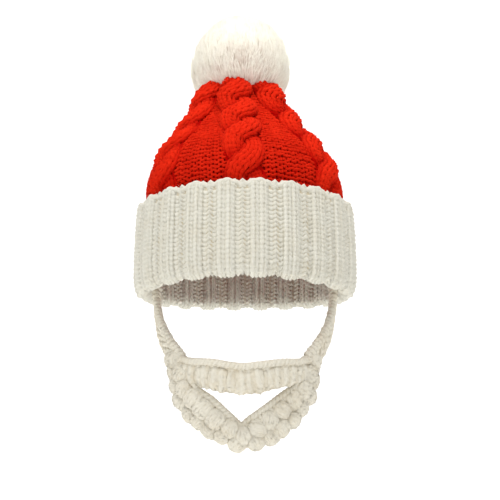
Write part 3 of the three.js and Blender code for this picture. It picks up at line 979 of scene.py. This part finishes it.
# FUR_DEEP is the fur's painted shade colour, and the dark end of its random mottle.
FUR_DEEP = (0.65, 0.555, 0.47)
FUR_SHEEN = (1, 0.97, 0.93)


def rest_in_nest(points, height):
    """Raises what would reach down into the gathered top, so that the ball lies on its folds."""
    front = np.cos(np.arctan2(points[..., 0] - TOP_LEAN, -points[..., 1]))
    below = np.maximum(height + NEST_SLOPE * front - points[..., 2], 0)
    points[..., 2] += below * NEST_HOLD
    return points


def fur_wisps():
    """Curved, tapering wisps all over the ball, combed up from the gathers so that they overlap."""
    dice = np.random.default_rng(53)
    count = FUR_WISPS + FUR_STRAYS
    number = np.arange(count) + 0.5
    up = 1 - FUR_COVER * number / count
    turn = number * math.pi * (3 - math.sqrt(5)) + dice.normal(0, FUR_SCATTER, count)
    flat = np.sqrt(1 - up**2)
    way = np.stack([flat * np.cos(turn), flat * np.sin(turn), up], axis=1)
    stray = (dice.permutation(count) >= FUR_WISPS)[:, None]
    tufts = unit(dice.normal(0, 1, (FUR_TUFTS, 3)))
    tuft = np.argmax(way @ tufts.T, axis=1)
    length = POMPOM_RADIUS - FUR_CORE - FUR_ROOT + dice.normal(0, FUR_UNEVEN, (count, 1))
    length = length + dice.normal(0, FUR_UNEVEN, (FUR_TUFTS, 1))[tuft]
    length = np.where(stray, length + dice.uniform(0, STRAY_LENGTH, (count, 1)), length)
    comb = (np.array([0, 0, 1]) - way * up[:, None]) / np.maximum(flat, COMB_POLE)[:, None]
    sway = dice.normal(0, TUFT_SWAY, (FUR_TUFTS, 3))[tuft] + dice.normal(0, WISP_SWAY, way.shape)
    comb = comb + sway - way * np.sum(sway * way, axis=1)[:, None]
    comb = comb * np.where(stray, STRAY_COMB, 1.0) * FUR_COMB
    comb = comb * dice.uniform(COMB_LEAST, COMB_MOST, (count, 1))
    share = WISP_PLACES[None, :, None]
    line = (way * (FUR_CORE - FUR_ROOT))[:, None, :] + (length * way)[:, None, :] * share**0.75
    reach = np.linalg.norm(line, axis=-1, keepdims=True)
    line = line + comb[:, None, :] * share**1.3
    tuft_lift = FUR_LIFT * dice.uniform(LIFT_LEAST, LIFT_MOST, (FUR_TUFTS, 1))[tuft]
    lift = np.where(stray, 1.0, tuft_lift)[:, None]
    held = unit(line) * reach
    line = held + (line - held) * lift
    below = np.clip(-line[..., 2:] / POMPOM_RADIUS, 0, 1)
    sideways = np.where(way[:, :1] < 0, FUR_LEFT_SPREAD, FUR_RIGHT_SPREAD) * np.abs(way[:, :1])
    outwards = way * np.array([1, 1, 0]) * (FUR_SPREAD + sideways)
    line = line + outwards[:, None, :] * below
    line[..., 2] *= np.where(line[..., 2] > 0, FUR_CROWN, 1.0)
    line = rest_in_nest(line + np.array([TOP_LEAN, 0, POMPOM_HEIGHT]), NEST_HEIGHT)
    thickness = np.where(stray, STRAY_WIDTH, 1.0) * WISP_WIDTHS
    # Painted shade: darker towards the nest and low in front, and at the wisps' roots; a random tone per
    # tuft is added to it.
    tone = np.clip((NEST_HEIGHT + FUR_SHADE_REACH - line[:, :2, 2]) / FUR_SHADE_REACH, 0, 1)
    tone = tone * (SIDE_SHADE + FRONT_SHADE * np.clip(-way[:, 1:2], 0, 1) ** 3)
    tone = WISP_SHADES + tone + dice.uniform(PALEST_TUFT, DARKEST_TUFT, (FUR_TUFTS, 1))[tuft]
    return line, way, thickness, np.clip(tone, 0, 1)


def read_vectors(items, name):
    """One vector of each of a mesh's points, faces or corners, as an array."""
    values = np.empty(len(items) * 3, np.float32)
    items.foreach_get(name, values)
    return values.reshape(-1, 3)


def soften_fur(mesh, ball_middle):
    """Turns the shading of the wisps' outer sides towards the way that the ball faces there."""
    corner_counts = np.empty(len(mesh.polygons), np.int32)
    mesh.polygons.foreach_get("loop_total", corner_counts)
    corner_points = np.empty(len(mesh.loops), np.int32)
    mesh.loops.foreach_get("vertex_index", corner_points)
    outwards = unit(read_vectors(mesh.vertices, "co") - ball_middle)[corner_points]
    faces = np.repeat(read_vectors(mesh.polygons, "normal"), corner_counts, axis=0)
    own = read_vectors(mesh.corner_normals, "vector")
    outer_side = np.sum(faces * outwards, axis=1, keepdims=True) > 0
    blend = outwards * FUR_SOFTNESS + own * (1 - FUR_SOFTNESS)
    mesh.normals_split_custom_set(unit(np.where(outer_side, blend, faces)))


fur_line, fur_way, fur_thickness, fur_shade_and_tone = fur_wisps()
fur_line = tilt_back(fur_line)
fur_facing = np.broadcast_to(tilt_back(fur_way)[:, None, :], fur_line.shape)
fur_rings = round_yarn(fur_line, fur_facing, fur_thickness, False, sides=3, flatness=FUR_FLATNESS)
fur_bundle = strands(fur_rings[:, :2], False, fur_shade_and_tone, fur_line[:, 2])
core_turn = np.arange(CORE_SIDES) / CORE_SIDES * 2 * math.pi
core_rise = np.linspace(-math.pi / 2 + CORE_POLE, math.pi / 2 - CORE_POLE, CORE_RINGS)
core_rings = np.stack(
    [
        TOP_LEAN + FUR_CORE * np.cos(core_rise)[:, None] * np.cos(core_turn),
        FUR_CORE * np.cos(core_rise)[:, None] * np.sin(core_turn),
        POMPOM_HEIGHT + FUR_CORE * np.sin(core_rise)[:, None] * np.ones(CORE_SIDES),
    ],
    axis=-1,
)
# The core carries painted shade.
core_bundle = strands(tilt_back(rest_in_nest(core_rings, CORE_NEST_HEIGHT))[None], False, CORE_SHADE)
fur_mesh = strand_mesh("pompom_fur", [fur_bundle, core_bundle])
soften_fur(fur_mesh, tilt_back(np.array([TOP_LEAN, 0, POMPOM_HEIGHT])) * MM)
white_fur = yarn_material(
    "white_fake_fur", FUR_WHITE, FUR_DEEP, plies_per_metre=40.0, sheen=0.1, tint=FUR_SHEEN, relief=0.0
)
pompom = finished("pompom_fur", fur_mesh, white_fur, "white_fur", "pompom")

# Straps
# Two narrow crocheted straps that are sewn inside the cuff, one at each side, and carry the beard.
# Their short stitches run round the strap in rows, so that its face is knobbly all over.
BEARD_AXIS_DEPTH = -20.0
BAND_POINTS = 400
BAND_STEP = 1.5
BAND_END = 1.6
BAND_FLATNESS = 0.75
BAND_CORE_SHADE = 0.8
# Place to the right, back and up, width and thickness, from the cuff down to the beard.
STRAP_SECTIONS = [
    (-75.3, -6, 27, 17, 5), (-74.8, -14, 5, 17, 5), (-72.3, -26, -10, 16.5, 5.4),
    (-67.2, -41, -22, 17, 6), (-60.6, -53.5, -30.5, 17.5, 7), (-53.2, -63, -39.5, 18.5, 8),
    (-46.5, -69.5, -48.0, 18, 7),
]
STRAP_ROWS = 27
STRAP_STITCHES = 10
STRAP_SAMPLES = 6
STRAP_YARN = 4.6
STRAP_PLUMP = 0.1
STRAP_SWAY = 0.28
STRAP_RELIEF = 0.6
STRAP_SETBACK = 1.9
STRAP_UNEVEN_ROW = 0.1
STRAP_UNEVEN_DEPTH = 0.3
KNOB_SHADE = 0.15
CROCHET_CREAM = (0.69, 0.652, 0.555)
# CROCHET_DEEP is the painted shade colour of the crochet yarn, and the dark end of its random mottle.
CROCHET_DEEP = (0.52, 0.43, 0.28)


class Band:
    """A flat rounded band along a table of middle points, widths and thicknesses."""

    def __init__(self, sections):
        self.line = smooth_table(sections, BAND_POINTS)
        steps = np.linalg.norm(np.diff(self.line[:, :3], axis=0), axis=1)
        self.run = np.concatenate([[0], np.cumsum(steps)])
        self.length = self.run[-1]

    def column(self, along, k):
        """A column of the table at a distance along the band."""
        return np.interp(along, self.run, self.line[:, k])

    def middle(self, along):
        """A point on the band's middle line."""
        return np.stack([self.column(along, k) for k in range(3)], axis=-1)

    def frame(self, along):
        """The way along the band, the way it faces, and the way across it towards the mouth."""
        along = np.clip(along, BAND_END, self.length - BAND_END)
        ahead = unit(self.middle(along + BAND_STEP) - self.middle(along - BAND_STEP))
        spot = self.middle(along)
        out = np.stack([spot[..., 0], spot[..., 1] - BEARD_AXIS_DEPTH, np.zeros(along.shape)], axis=-1)
        across = unit(np.cross(unit(out), ahead))
        return ahead, unit(np.cross(ahead, across)), across

    def place(self, turn, along, stand):
        """A point round the band, at a turn from its face, and the way that its surface faces there."""
        turn, along, stand = np.broadcast_arrays(turn, along, stand)
        held = np.clip(along, 0, self.length)
        ahead, out, across = self.frame(held)
        sine = np.sign(np.sin(turn)) * np.abs(np.sin(turn)) ** BAND_FLATNESS
        cosine = np.sign(np.cos(turn)) * np.abs(np.cos(turn)) ** BAND_FLATNESS
        wide = self.column(held, 3) / 2 + stand
        thick = self.column(held, 4) / 2 + stand
        point = self.middle(held) + ahead * (along - held)[..., None]
        point = point + across * (sine * wide)[..., None] + out * (cosine * thick)[..., None]
        facing = unit(across * (np.sin(turn) * thick)[..., None] + out * (np.cos(turn) * wide)[..., None])
        return point, facing


def band_core(band, shrink, inset, steps, sides):
    """The closed inside of a band, which fills it behind its yarns, coloured with painted shade."""
    along = np.linspace(inset, band.length - inset, steps)[:, None]
    turn = -np.arange(sides) / sides * 2 * math.pi
    rings, _ = band.place(turn[None, :], along, np.array(-shrink))
    return strands(rings[None, :, ::-1], False, BAND_CORE_SHADE)


def strap_rows(band, seed):
    """Rows of short crochet stitches round a strap, each a small knob between those of the row before."""
    q = (np.arange(STRAP_STITCHES * STRAP_SAMPLES) / STRAP_SAMPLES)[None, :]
    row = np.arange(STRAP_ROWS)[:, None]
    pitch = band.length / STRAP_ROWS
    grid = (STRAP_ROWS, STRAP_STITCHES)
    q_rows = np.broadcast_to(q, (STRAP_ROWS, q.shape[1]))
    phase = 2 * math.pi * (q + 0.5 * (row % 2))
    climb = row + 0.5 + STRAP_SWAY * np.sin(phase) + uneven(grid, STRAP_UNEVEN_ROW, seed)(q_rows)
    stand = STRAP_RELIEF * np.cos(phase) - STRAP_SETBACK
    stand = stand + uneven(grid, STRAP_UNEVEN_DEPTH, seed + 1)(q_rows)
    line, facing = band.place(q / STRAP_STITCHES * 2 * math.pi, climb * pitch, stand)
    # Painted shade between the knobs.
    painted_shade = KNOB_SHADE - KNOB_SHADE * np.cos(phase)
    thickness = STRAP_YARN * (1 + STRAP_PLUMP * np.cos(phase))
    return round_strands(line, facing, thickness, True, painted_shade)


cream_crochet = yarn_material(
    "cream_crochet_yarn",
    CROCHET_CREAM,
    CROCHET_DEEP,
    plies_per_metre=130.0,
    sheen=0.2,
    tint=CREAM_SHEEN,
    relief=0.9,
    mottle=1.0,
)
for strap_name, mirror, strap_seed in (("strap_left", 1, 61), ("strap_right", -1, 67)):
    strap_sections = [(mirror * row[0], *row[1:]) for row in STRAP_SECTIONS]
    strap_band = Band(strap_sections)
    strap_yarn = strap_rows(strap_band, strap_seed)
    strap_core = band_core(strap_band, shrink=2.2, inset=0.5, steps=30, sides=16)
    strap_mesh = strand_mesh(strap_name + "_crochet", [strap_yarn, strap_core])
    finished(strap_name + "_crochet", strap_mesh, cream_crochet, "cream_crochet", strap_name)

# Moustache
# A crocheted bar above the mouth opening: a chain along its top edge with tall puffy stitches
# hanging from it, sewn at both ends to the upper ends of the beard.
# Place to the right, back and up, width and thickness, from one end to the other.
MOUSTACHE_SECTIONS = [
    (-51.5, -65.5, -44.5, 17, 8), (-47, -71, -45, 18, 8), (-40, -79, -45, 19, 8),
    (-25.2, -90, -44.5, 21, 9), (-12.6, -95.5, -46, 22, 10), (-1, -97.5, -47, 22.5, 10.5),
    (12.6, -95.5, -45.5, 21.5, 10), (28.2, -88.5, -44, 19.5, 9), (40.4, -78.5, -45, 17.5, 8),
    (47.5, -70.5, -45, 17, 8), (52, -65, -44.5, 16, 8),
]
PUFF_SAMPLES = 36
PUFF_UNEVEN_RISE = 0.25
PUFF_UNEVEN_DEPTH = 0.2
PUFF_UNEVEN_YARN = 0.07
PUFF_EDGE_RISE = 0.45
PUFF_SWAY = 1.0
STRAND_SCATTER = 0.12
PUFF_MELT = 0.5
PUFF_GATHER = 0.3
PUFF_ROUND = 0.8
PUFF_BEND = 0.6
PUFF_LUMPS = 0.4
STRAND_LUMPS = 0.12
PUFF_SHADE = 0.7
EYELET_TURN = math.radians(42)
EYELET_WIDTH = 0.16
EYELET_DEPTH = 0.5
EYELET_SHADE = 0.1
CHAIN_SAMPLES = 8
CHAIN_PLUMP = 0.12
CHAIN_SWAY = 1.2
CHAIN_LIFT = 0.7


def puffs(band, count, strands_each, yarn, rise, seed):
    """Tall stitches side by side: groups of strands wound round the band, each group a soft swelling."""
    dice = np.random.default_rng(seed)
    total = count * strands_each
    number = np.arange(total)[:, None]
    turn = (np.arange(PUFF_SAMPLES) / PUFF_SAMPLES * 2 * math.pi)[None, :]
    stitch = number // strands_each
    within = (number % strands_each + 0.5) / strands_each - 0.5
    pitch = band.length / count
    gather = 1.0 - PUFF_GATHER * np.clip(np.sin(turn), 0, 1) ** 2
    puff = stitch[:, 0]
    size = dice.normal(0, PUFF_UNEVEN_RISE, (count, 1))[puff]
    sway = dice.normal(0, PUFF_SWAY, (count, 1))[puff]
    along = (stitch + 0.5) * pitch + within * pitch * gather + sway * np.cos(turn)
    bend = dice.uniform(0, ANY_PHASE, (count, 1))[puff]
    along = along + dice.normal(0, STRAND_SCATTER, (total, 1)) + PUFF_BEND * np.sin(turn * 3 + bend)
    swell = rise * (1 + size) * (1 - PUFF_ROUND * (2 * within) ** 2)
    below_edge = np.clip(1 - np.sin(turn) * 1.15, 0, 1) ** 0.7
    swell = swell * (PUFF_EDGE_RISE + (1 - PUFF_EDGE_RISE) * below_edge)
    own_phase = dice.uniform(0, ANY_PHASE, (total, 1))
    lumps = PUFF_LUMPS * np.sin(turn * 4 + 2 * bend) + STRAND_LUMPS * np.sin(turn * 5 + own_phase)
    thickness = yarn * (1 + PUFF_MELT * np.clip(np.cos(turn), 0, 1) ** 1.5)
    thickness = thickness * (1 + dice.normal(0, PUFF_UNEVEN_YARN, along.shape))
    stand = swell + lumps - thickness / 2 + dice.normal(0, PUFF_UNEVEN_DEPTH, along.shape)
    eyelets = np.exp(-(((turn - EYELET_TURN) / EYELET_WIDTH) ** 2))
    stand = stand - EYELET_DEPTH * eyelets
    line, facing = band.place(turn, along, stand)
    # Painted shade at the sides of each puff and in the eyelets.
    painted_shade = np.abs(2 * within) ** 3 * PUFF_SHADE + EYELET_SHADE * eyelets
    return round_strands(line, facing, thickness, True, painted_shade)


def chain(band, turn, stand, links, yarn, inset):
    """A crochet chain along a band: slanted links, each lying over the next, as two plaited yarns."""
    q = np.linspace(0, links, links * CHAIN_SAMPLES + 1)[None, :]
    side = np.array([0.0, 0.5])[:, None]
    phase = 2 * math.pi * (q + side)
    along = inset + (band.length - 2 * inset) * q / links
    line, facing = band.place(turn, along, stand + CHAIN_LIFT * np.cos(phase))
    ahead, _, _ = band.frame(along)
    line = line + np.cross(facing, ahead) * (CHAIN_SWAY * np.sin(phase))[..., None]
    thickness = yarn * (1 + CHAIN_PLUMP * np.cos(phase))
    # Painted shade between the links.
    painted_shade = KNOB_SHADE - KNOB_SHADE * np.cos(phase)
    return round_strands(line, facing, thickness, False, painted_shade)


moustache_band = Band(MOUSTACHE_SECTIONS)
moustache_puffs = puffs(moustache_band, count=18, strands_each=3, yarn=5.0, rise=2.0, seed=71)
moustache_bundles = [
    moustache_puffs,
    fuzz([moustache_puffs], count=1500, length=3.0, thickness=0.24, seed=73),
    chain(moustache_band, turn=math.radians(62), stand=0.3, links=19, yarn=4.3, inset=1.0),
    band_core(moustache_band, shrink=1.5, inset=1.0, steps=40, sides=20),
]
moustache_mesh = strand_mesh("moustache_crochet", moustache_bundles)
finished("moustache_crochet", moustache_mesh, cream_crochet, "cream_crochet", "moustache")

# Chin beard
# A crocheted band that hangs from strap to strap below the moustache, covered in two staggered
# rows of bobbles, with a narrow chained edge along the mouth opening.
# Place to the right, back and up, width and thickness, from strap to strap.
BEARD_SECTIONS = [
    (-58.5, -57.2, -37, 12, 7.5), (-53, -63.5, -43, 18, 9), (-50, -70, -56, 27, 10),
    (-43, -77, -68.5, 27, 10), (-31.4, -84, -77.2, 28.2, 10), (-18.7, -89, -86.3, 24.6, 10),
    (-3, -91, -94.2, 18, 10), (10.5, -90, -89.2, 24, 10), (23.6, -87, -81.8, 27, 10),
    (35.1, -81, -73.2, 26.6, 10), (45, -74.5, -64, 23, 10), (49.5, -68, -53, 23, 10),
    (52, -62, -43, 17, 9), (58, -56.4, -37, 12, 7.5),
]
BOBBLE_STRANDS = 8
BOBBLE_SAMPLES = 13
BOBBLE_SCATTER = 0.05
BOBBLE_TWIST = 0.6
BOBBLE_SHIFT = 1.0
BOBBLE_UNEVEN_SIZE = 0.08
BOBBLE_UNEVEN_LIFT = 0.05
BOBBLE_UNEVEN_LINE = 0.22
BOBBLE_UNEVEN_YARN = 0.08
LANE_SCATTER = 0.05
LANE_WAVE = 0.05
BOBBLE_END = 0.3
BOBBLE_SPREAD = math.radians(78)
BOBBLE_ROOT = 0.30
BOBBLE_EDGE = 0.02
BOBBLE_SHADE = 0.3


def bobbles(band, across_share, spacing, start, size, rise, yarn, seed):
    """Round soft knobs of several yarns that arch side by side over the band and meet at both ends."""
    dice = np.random.default_rng(seed)
    count = int((band.length - start - spacing * BOBBLE_END) // spacing) + 1
    centre = start + np.arange(count) * spacing + dice.normal(0, spacing * BOBBLE_SCATTER, count)
    t = np.linspace(-1, 1, BOBBLE_SAMPLES)[None, None, :]
    lane = ((np.arange(BOBBLE_STRANDS) + 0.5) / BOBBLE_STRANDS * 2 - 1)[None, :, None]
    each = (count, BOBBLE_STRANDS, 1)
    lane = lane + dice.normal(0, LANE_SCATTER, each)
    lane = lane + LANE_WAVE * np.sin(4 * t + dice.uniform(0, ANY_PHASE, each))
    grow = (1 + dice.normal(0, BOBBLE_UNEVEN_SIZE, count))[:, None, None]
    twist = dice.normal(0, BOBBLE_TWIST, count)[:, None, None]
    shift = dice.normal(0, BOBBLE_SHIFT, count)[:, None, None]
    bow = np.cos(t * math.pi / 2) ** 0.8
    lean = lane * BOBBLE_SPREAD
    lift = np.cos(lean) * bow + dice.normal(0, BOBBLE_UNEVEN_LIFT, each) * bow
    u = np.sin(lean) * bow * size[0] / 2 * grow
    v = np.sin(t * math.pi / 2) * size[1] / 2 * grow
    u, v = u * np.cos(twist) - v * np.sin(twist), u * np.sin(twist) + v * np.cos(twist)
    v = v + shift
    along = np.broadcast_to(centre[:, None, None], u.shape)
    ahead, out, across = band.frame(along)
    middle = band.middle(along)
    thick = band.column(along, 4)[..., None]
    wide = band.column(along, 3)[..., None]
    arch = (rise * grow * lift)[..., None]
    line = middle + ahead * u[..., None] + across * (v[..., None] + across_share * wide)
    fall = 1 - np.clip(np.abs(across_share + v[..., None] / wide) * 2, 0, 1) ** 2.2
    line = line + out * (thick * (BOBBLE_ROOT * fall + BOBBLE_EDGE) + arch)
    facing = unit(out + ahead * (u / size[0])[..., None] + across * (v / size[1])[..., None])
    flat = (count * BOBBLE_STRANDS, BOBBLE_SAMPLES, 3)
    line = line.reshape(flat)
    facing = facing.reshape(flat)
    line = line + dice.normal(0, BOBBLE_UNEVEN_LINE, line.shape)
    thickness = yarn * (1 + dice.normal(0, BOBBLE_UNEVEN_YARN, flat[:2]))
    # Painted shade at the bobbles' ends, where they meet the band.
    painted_shade = np.abs(t[0]) ** 6 * BOBBLE_SHADE
    return round_strands(line, facing, thickness, False, painted_shade)


beard_band = Band(BEARD_SECTIONS)
mouth_bobbles = bobbles(
    beard_band, across_share=0.15, spacing=12.6, start=5.0, size=(12.4, 12.6), rise=4.0, yarn=4.8, seed=87
)
chin_bobbles = bobbles(
    beard_band, across_share=-0.30, spacing=11.0, start=2.0, size=(10.6, 11.0), rise=3.4, yarn=4.4, seed=89
)
beard_bundles = [
    mouth_bobbles,
    chin_bobbles,
    puffs(beard_band, count=27, strands_each=2, yarn=4.2, rise=0.7, seed=83),
    fuzz([mouth_bobbles, chin_bobbles], count=2500, length=3.0, thickness=0.24, seed=91),
    chain(beard_band, turn=math.radians(78), stand=-0.1, links=22, yarn=3.9, inset=16.0),
    band_core(beard_band, shrink=1.5, inset=1.0, steps=60, sides=20),
]
beard_mesh = strand_mesh("beard_crochet", beard_bundles)
finished("beard_crochet", beard_mesh, cream_crochet, "cream_crochet", "chin_beard")
